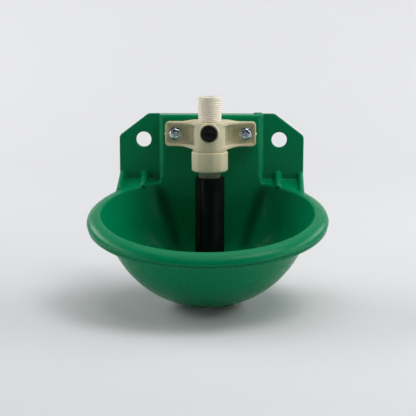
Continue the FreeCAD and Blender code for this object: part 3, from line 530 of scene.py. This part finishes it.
def turn_true(piece):
    """Bring the front of the remeshed bowl back onto its turned form, and shade it as turned."""
    points = coordinates(piece)
    across, back, above = rim_coordinates(points)
    radius = np.maximum(np.hypot(across, back), 1e-6)
    rim = (radius > RIM_INSIDE) & (above > RIM_UNDER)
    rim_share = np.clip((RIM_HOLD_END - back) / RIM_HOLD_FADE, 0, 1)
    share = np.where(rim, rim_share, np.clip(-back / WALL_HOLD_FADE, 0, 1))
    goal, side = snapped(np.column_stack((radius, above)), rim_profile())
    scale = 1 + share * (goal[:, 0] / radius - 1)
    new_across, new_back = across * scale, back * scale
    new_above = above + share * (goal[:, 1] - above)
    points[:, 0] = new_across
    points[:, 1] = RIM_CENTRE[0] + new_back * LEAN - new_above * RISE
    points[:, 2] = RIM_CENTRE[1] + new_back * RISE + new_above * LEAN
    move_points(piece, points)
    normals = vectors(piece, "normal")
    turned_x, turned_back = side[:, 0] * across / radius, side[:, 0] * back / radius
    turned = np.column_stack((turned_x, turned_back * LEAN - side[:, 1] * RISE,
                              turned_back * RISE + side[:, 1] * LEAN))
    turned *= np.sign((turned * normals).sum(1))[:, None]
    normals = normals + share[:, None] * (turned - normals)
    piece.data.normals_split_custom_set_from_vertices(normals.tolist())


def near(distance, reach):
    """1 up to a third of the reach, falling to 0 at the reach."""
    return np.clip(1.5 - 1.5 * np.abs(distance) / reach, 0.0, 1.0)


def narrowed(back, end, depth):
    """Share of the bowl's size that is left at a distance behind its middle."""
    return np.sqrt(np.clip(1 - np.clip(back, 0, end) ** 2 / depth ** 2, 0.01, 1))


def ease_corner(piece, reach):
    """Run the bowl's wall into the flat panel in a wide round corner."""
    points = coordinates(piece)
    across, back, above = rim_coordinates(points)
    flat = narrowed(back, 83, BACK_WIDTH_DEPTH)
    wide = np.abs(across) / flat
    low = above / narrowed(back, 100, BACK_FLOOR_DEPTH)
    flared = INNER_BALL - (wide * math.cos(FLARE_ANGLE) + (low - BALL_RISE) * math.sin(FLARE_ANGLE))
    ball = INNER_BALL - np.hypot(wide, low - BALL_RISE)
    wall_gap = np.where(np.arctan2(low - BALL_RISE, wide) > FLARE_ANGLE, flared, ball)
    wall_gap *= np.minimum(flat + 0.25, 1)
    panel_gap = PANEL_Y - points[:, 1]
    inner = (wall_gap > -FACE_MARGIN) & (panel_gap > -FACE_MARGIN) & (above < 2.0)
    other = np.maximum(wall_gap, panel_gap)
    push = reach / 4 * np.clip(1 - np.abs(other) / reach, 0, 1) ** 2 * inner
    push *= np.clip((-above) / PUSH_FADE, 0, 1)
    points += vectors(piece, "normal") * push[:, None]
    move_points(piece, points)
    corner = near(other, reach * 1.2) * inner * np.clip((-above) / SMOOTHING_FADE, 0, 1)
    mouth_gap = np.abs(points[:, 0]) / flat - MOUTH_RADIUS
    lip = near(above, LIP_REACH) * near(mouth_gap, LIP_REACH) * np.clip((back - LIP_START) / LIP_FADE, 0, 1)
    lip *= points[:, 1] < PANEL_Y + 6
    soften(piece, np.clip(corner + lip, 0, 1), CORNER_ROUNDS)


def between(values, low, high):
    return (values > low) & (values < high)


def round_edges(piece):
    """Round the upright front edges of the box wider, and give the ribs a fuller, softer form."""
    points = coordinates(piece)
    normals = vectors(piece, "normal")
    side = np.abs(points[:, 0]) - (BOX_HALF - EDGE_RADIUS)
    front = (PANEL_Y + EDGE_RADIUS) - points[:, 1]
    corner = (side > 0) & (front > 0) & (np.abs(points[:, 0]) < BOX_HALF + 0.4) & (points[:, 2] > EDGE_END)
    length = np.maximum(np.hypot(side, front), 1e-6)
    pull = np.where(corner & (length > EDGE_RADIUS), EDGE_RADIUS / length, 1.0)
    pull = 1 + (pull - 1) * np.clip((points[:, 2] - EDGE_END) / EDGE_FADE, 0, 1)
    points[:, 0] -= np.sign(points[:, 0]) * side * (1 - pull) * corner
    points[:, 1] += front * (1 - pull) * corner
    above = rim_coordinates(points)[2]
    out = points[:, 1]
    rib_gap = np.abs(points[:, 0]) - RIB_X
    ribs = near(rib_gap, 6.0) * between(rib_gap, -RIB_HALF, RIB_HALF) * (above > RIB_FOOT)
    ribs = RIB_SWELL * (ribs * between(out, -28.0, -4.9))
    points += normals * (ribs * np.clip((above - RIB_FOOT) / RIB_FADE, 0, 1))[:, None]
    move_points(piece, points)
    rib_gap, box_gap = np.abs(points[:, 0]) - RIB_X, np.abs(points[:, 0]) - BOX_HALF
    around = near(rib_gap, 9.0) * between(out, -32.0, -4.0) * (above > -1.5)
    lip = near(above, 3.0) * near(box_gap, 9.0) * between(out, -26.0, -5.0)
    soften(piece, np.clip(np.clip(around, 0, 0.6) + lip, 0, 1), EDGE_ROUNDS)


def bowl_piece():
    """The bowl, plate and ribs as one moulding with soft inner corners."""
    piece = solid_copy("bowl_shell", "bowl_moulding")
    remesh(piece, BOWL_VOXEL, BOWL_ROUNDS)
    ease_corner(piece, CORNER_REACH)
    round_edges(piece)
    thin(piece, BOWL_TRIANGLES)
    smooth_all(piece)
    turn_true(piece)
    finish_piece(piece, "bowl_shell", green)


# The valve body

VALVE_VOXEL, VALVE_ROUNDS, VALVE_TRIANGLES = 0.42, 13, 150000
# Half sizes of the flange, its swelling by the barrel, and its corners
FLANGE_HALF, FLANGE_TALL, FLANGE_SWELL, FLANGE_CORNER = 40.65, 11.0, 12.6, 3.5
BARREL_RADIUS = 15.3
# A scoop is cut in steps: how much shallower, taller and longer each step is than the one before
SCOOP_STEPS = 4
SCOOP_SHALLOWER, SCOOP_TALLER, SCOOP_LONGER = 0.6, 0.8, 1.0
FRONT = -60.0


def flange_corners():
    """The mounting flange's outline, swollen at the middle and round at its corners."""
    right = [(BARREL_RADIUS, FLANGE_SWELL), (BARREL_RADIUS + 9.6, FLANGE_TALL)]
    for i in range(7):
        angle = math.radians(90 - 15 * i)
        right.append((FLANGE_HALF - FLANGE_CORNER + FLANGE_CORNER * math.cos(angle),
                      FLANGE_TALL - FLANGE_CORNER + FLANGE_CORNER * math.sin(angle)))
    right += [(a, -b) for a, b in reversed(right)]
    corners = right + [(-a, b) for a, b in reversed(right)]
    return [(a, VALVE_Z + b) for a, b in corners]


def scoop_cutter(sign, step):
    """One step of the hollow in the flange's face, beside the barrel and behind the screw."""
    lift, half, outer = SCOOP_SHALLOWER * step, 6.6 + SCOOP_TALLER * step, 36.4 + SCOOP_LONGER * step
    plan = [(11.6, FRONT), (11.6, -32.0), (12.6, -26.0 - lift), (15.5, -22.4 - lift), (19.5, -21.0 - lift),
            (31.5, -21.3 - lift), (outer, -21.9 - lift), (outer, FRONT)]
    return prism("scoop", [(a * sign, b) for a, b in plan], VALVE_Z - half, VALVE_Z + half, "XY")


def valve_piece():
    """The valve body: flange with scooped faces, webs that run out to the barrel, boss and neck."""
    base = prism("valve_moulding", flange_corners(), AXIS_Y, -17.2)
    plan = [(-42.0, -17.1), (-42.0, -24.0), (-31.0, -24.4), (-25.0, -26.2), (-20.0, -29.6), (-16.5, -34.0),
            (-15.0, AXIS_Y)]
    plan += [(-a, b) for a, b in reversed(plan)]
    combine(base, [prism("plan", plan, -8.0, 24.0, "XY")], "INTERSECT")
    parts = [rod("barrel", 15.0, VALVE_Z - 12.4, VALVE_Z + 12.4),
             rod("neck", 14.1, -14.7, 0.0),
             rod("neck_ring", 14.7, -6.3, -5.2),
             rod("boss", 8.8, -54.9, -45.0, z=PLUG_Z, along="Y"),
             rod("inlet_stub", 9.2, 0.0, 24.0)]
    for sign in (-1, 1):
        parts.append(rod("nib", 0.8, -22.4, -20.6, x=sign * 40.8, z=VALVE_Z, along="Y", steps=24))
    combine(base, parts, "UNION")
    cutters = []
    for sign in (-1, 1):
        cutters += [scoop_cutter(sign, step) for step in range(SCOOP_STEPS)]
        cutters.append(rod("screw_hole", 3.3, -30.0, -10.0, x=SCREW_X * sign, z=VALVE_Z, along="Y", steps=32))
    combine(base, cutters, "DIFFERENCE")
    combine(base, [rod("barrel_core", 13.6, VALVE_Z - 9.0, VALVE_Z + 9.0)], "UNION")
    bores = [rod("regulator_seat", 7.3, FRONT, -52.3, z=PLUG_Z, along="Y"),
             rod("bore", INLET_BORE, 17.5, 30.0),
             rod("chamber", 8.2, -12.2, 5.3),
             rod("mouth", 9.4, -16.0, -12.2)]
    combine(base, bores, "DIFFERENCE")
    remesh(base, VALVE_VOXEL, VALVE_ROUNDS)
    thin(base, VALVE_TRIANGLES)
    smooth_all(base)
    finish_piece(base, "valve_body", nylon)


# The inlet's thread: radii, pitch, its foot, and the chamfer and plain length at its top, in millimetres
THREAD_ROOT, THREAD_CREST, THREAD_PITCH = 9.85, 10.42, 1.814
THREAD_PLAIN = THREAD_ROOT + 0.4
THREAD_LOW = 18.8
END_CHAMFER = 0.3
PLAIN_LENGTH, PLAIN_FADE = 2.6, 1.6


def thread_reach(height, turn):
    """Radius of the thread at a height and a share of a turn."""
    phase = (height / THREAD_PITCH - turn) % 1.0
    tooth = min(1.0, max(0.0, 2.6 * (0.5 - abs(phase - 0.5)) - 0.15))
    fade = min(1.0, max(0.0, (INLET_TOP - PLAIN_LENGTH - height) / PLAIN_FADE))
    cut = THREAD_ROOT + (THREAD_CREST - THREAD_ROOT) * tooth
    return THREAD_PLAIN + (cut - THREAD_PLAIN) * fade


def thread_piece():
    """The inlet: a pipe thread of 14 turns to the inch under a plain end."""
    steps, rows = 96, 128
    shoulder = INLET_TOP - END_CHAMFER
    heights = [shoulder - (shoulder - THREAD_LOW) * i / rows for i in range(rows + 1)]
    top = [(INLET_BORE, shoulder), (INLET_BORE + END_CHAMFER, INLET_TOP), (9.0, INLET_TOP)]
    inside = [(INLET_BORE, THREAD_LOW), (INLET_BORE, INLET_TOP - 14.0)]
    points = []
    for i in range(steps):
        angle = 2 * math.pi * i / steps
        outside = [(thread_reach(height, i / steps), height) for height in heights]
        for radius, height in top + outside + inside:
            points.append((radius * math.cos(angle), AXIS_Y + radius * math.sin(angle), height))
    count = len(points) // steps
    faces = []
    for i in range(steps):
        for j in range(count):
            a, b = i * count + j, i * count + (j + 1) % count
            after = (i + 1) % steps
            faces.append((a, after * count + j, after * count + (j + 1) % count, b))
    piece = closed_piece("inlet_thread", points, faces)
    smooth(piece, math.radians(50))
    # The thread takes the lighter nylon copy, painted light for its backlit look
    finish_piece(piece, "valve_body", nylon_painted_backlight)


# The smaller pieces that show

NUT_LOW = -23.9
NUT_FLATS, FLAT_DEPTH, FLAT_RADIUS = 14, 0.26, 15.0
NUT_PROFILE = [(11.0, 0.4), (11.4, 0.0), (14.6, 0.0), (15.4, 0.25), (15.85, 0.8), (16.0, 1.6),
               (16.1, 6.0), (16.1, 12.0), (16.1, 16.2), (15.95, 16.9), (15.4, 17.4), (14.5, 17.4),
               (14.0, 17.2), (14.0, 8.2), (12.6, 8.2), (12.6, 3.0), (11.0, 3.0)]
SCREW_PROFILE = [(0.0001, -17.4), (2.5, -17.4), (3.0, -16.8), (3.0, 0.0), (5.5, 0.0), (5.8, 0.25), (5.8, 0.7),
                 (5.5, 0.95), (5.0, 1.1), (5.0, 2.7), (4.5, 3.3), (3.6, 3.6), (0.0001, 3.6)]
RECESS_LENGTH, RECESS_WIDTH = 2.9, 0.75
HEAD_SEAT_Y = -21.6
SCREW_TURN = 0.35


def from_flat(angle, sides):
    """How far a direction is from the middle of a flat side, from 0 to 1 at the corners."""
    return min(1.0, abs((angle / (2 * math.pi) * sides) % 1.0 - 0.5) * 2)


def nut_piece():
    """The union nut, with faint flats round it and softened ends."""
    def flats(radius, height, angle):
        if radius < FLAT_RADIUS:
            return radius
        return radius - FLAT_DEPTH * (1 - from_flat(angle, NUT_FLATS) ** 2)
    piece = lathe("union_nut_piece", NUT_PROFILE, 168, flats, base=NUT_LOW)
    smooth(piece, math.radians(40))
    finish_piece(piece, "union_nut", nylon)


def screw_pieces():
    """Two flanged screws with a domed six-sided head and a cross recess."""
    def hexagon(radius, height, angle):
        if not 3.2 < radius < 5.3 or height < 0.95:
            return radius
        return radius * (0.90 + 0.10 * min(1.0, 1.35 * from_flat(angle, 6)))
    for sign in (-1, 1):
        piece = lathe("screw_piece", SCREW_PROFILE, 72, hexagon, axis_y=0.0)
        recess = [prism("arm", [(-a, -b), (a, -b), (a, b), (-a, b)], 2.0, 4.5, "XY")
                  for a, b in ((RECESS_LENGTH, RECESS_WIDTH), (RECESS_WIDTH, RECESS_LENGTH))]
        recess.append(rod("middle", 1.5, 1.8, 4.5, y=0.0, steps=24))
        combine(piece, recess, "DIFFERENCE")
        spot = Matrix.Translation(Vector((SCREW_X * sign, HEAD_SEAT_Y, VALVE_Z)) * MM)
        face_front = Matrix.Rotation(math.radians(90), 4, "X")
        piece.data.transform(spot @ face_front @ Matrix.Rotation(SCREW_TURN * sign, 4, "Z"))
        smooth(piece, math.radians(35))
        finish_piece(piece, "valve_screws", zinc)


def plain_pieces(nodes):
    """Pieces that show little or nothing, as smoothed copies of their solids."""
    for node in nodes:
        piece = solid_copy(node, node + "_piece")
        smooth(piece)
        finish_piece(piece, node, SLOT_MATERIALS[slot_of_node(node)])


bowl_piece()
valve_piece()
thread_piece()
nut_piece()
screw_pieces()
MADE = ("bowl_shell", "valve_body", "union_nut", "valve_screws")
plain_pieces([node for node in frame["nodes"] if node not in MADE])


# Camera: the photograph's viewing angle

CAMERA_TARGET = Vector((-0.0007, -0.060, -0.0538))
CAMERA_DISTANCE = 1.0
CAMERA_AZIMUTH = math.radians(2.4)
CAMERA_ELEVATION = math.radians(10.0)
CAMERA_LENS = 98.9
SENSOR_WIDTH = 36.0


def make_camera():
    data = bpy.data.cameras.new("camera")
    data.lens = CAMERA_LENS
    data.sensor_width = SENSOR_WIDTH
    camera = add_object("camera", data)
    back = Vector((math.sin(CAMERA_AZIMUTH) * math.cos(CAMERA_ELEVATION),
                   -math.cos(CAMERA_AZIMUTH) * math.cos(CAMERA_ELEVATION),
                   math.sin(CAMERA_ELEVATION)))
    camera.location = CAMERA_TARGET + back * CAMERA_DISTANCE
    camera.rotation_mode = "QUATERNION"
    camera.rotation_quaternion = (-back).to_track_quat("-Z", "Y")
    bpy.context.scene.camera = camera


# Floor, backdrop and lights

# The sheet's half width, where it starts to rise and the radius of its sweep, in millimetres
SHEET_HALF, SHEET_REACH, SHEET_SWEEP = 4000.0, 700.0, 900.0
PAPER_COLOUR = (0.64, 0.645, 0.66)
GLOW_COLOUR = (0.985, 0.985, 1.0)
# Distances behind the part, in metres, between which the sheet's glow grows, and the glow at its end
GLOW_START, GLOW_END, GLOW_STRENGTH = 0.1, 1.5, 0.31
WORLD_COLOUR = (0.82, 0.83, 0.86)
WORLD_STRENGTH = 0.05
AIM, LOW_AIM = (0, -0.08, -0.06), (0, -0.08, -0.03)
# Each lamp: name, place, what it is aimed at, size in metres and power in watts
LAMPS = (
    ("key_softbox", (0.50, -0.25, 0.92), AIM, (0.5, 0.5), 4),
    ("top_softbox", (0.1, -0.05, 1.15), AIM, (1.6, 1.2), 8),
    ("left_softbox", (-1.2, 0.25, 0.67), AIM, (1.7, 0.4), 12),
    ("right_softbox", (1.2, 0.25, 0.67), AIM, (1.7, 0.4), 11),
    ("left_strip", (-1.2, -0.4, 0.03), LOW_AIM, (1.2, 0.05), 3),
    ("right_strip", (1.2, -0.4, 0.03), LOW_AIM, (1.2, 0.05), 3),
)


def paper():
    """Pale paper that glows towards the back, but only for what sees it and not as a light on the object."""
    material, tree, shader = new_material("pale_paper")
    shader.inputs["Base Color"].default_value = (*PAPER_COLOUR, 1)
    shader.inputs["Roughness"].default_value = 0.8
    place = tree.nodes.new("ShaderNodeTexCoord")
    split = tree.nodes.new("ShaderNodeSeparateXYZ")
    link(tree, place.outputs["Object"], split.inputs["Vector"])
    shader.inputs["Emission Color"].default_value = (*GLOW_COLOUR, 1)
    path = tree.nodes.new("ShaderNodeLightPath")
    seen = calculate(tree, "MAXIMUM", path.outputs["Is Camera Ray"], path.outputs["Is Glossy Ray"])
    seen = calculate(tree, "MAXIMUM", seen, path.outputs["Is Transmission Ray"])
    glow = remap(tree, split.outputs["Y"], GLOW_START, GLOW_END, 0.0, GLOW_STRENGTH)
    link(tree, calculate(tree, "MULTIPLY", glow, seen), shader.inputs["Emission Strength"])
    return material


def make_backdrop(steps=24):
    """A pale floor that sweeps up into the wall behind without a line."""
    ground = cad_low.z / MM
    profile = [(-SHEET_HALF, ground), (SHEET_REACH, ground)]
    for i in range(1, steps + 1):
        angle = math.radians(90 * i / steps)
        profile.append((SHEET_REACH + SHEET_SWEEP * math.sin(angle),
                        ground + SHEET_SWEEP * (1 - math.cos(angle))))
    profile.append((SHEET_REACH + SHEET_SWEEP, SHEET_HALF))
    points = [(x, y, z) for y, z in profile for x in (-SHEET_HALF, SHEET_HALF)]
    faces = [(2 * i, 2 * i + 1, 2 * i + 3, 2 * i + 2) for i in range(len(profile) - 1)]
    sheet = mesh_piece("backdrop", points, faces)
    smooth_all(sheet)
    sheet.data.materials.append(paper())


def area_light(name, spot, aim, size, power):
    data = bpy.data.lights.new(name, "AREA")
    data.shape = "RECTANGLE"
    data.size, data.size_y = size
    data.energy = power
    lamp = add_object(name, data)
    lamp.location = spot
    lamp.rotation_mode = "QUATERNION"
    lamp.rotation_quaternion = (Vector(aim) - Vector(spot)).to_track_quat("-Z", "Y")


def make_lights():
    for lamp in LAMPS:
        area_light(*lamp)
    world = bpy.data.worlds.new("studio")
    world.use_nodes = True
    background = world.node_tree.nodes["Background"]
    background.inputs["Color"].default_value = (*WORLD_COLOUR, 1)
    background.inputs["Strength"].default_value = WORLD_STRENGTH
    bpy.context.scene.world = world


make_camera()
make_backdrop()
make_lights()
bpy.context.scene.view_settings.view_transform = "Standard"
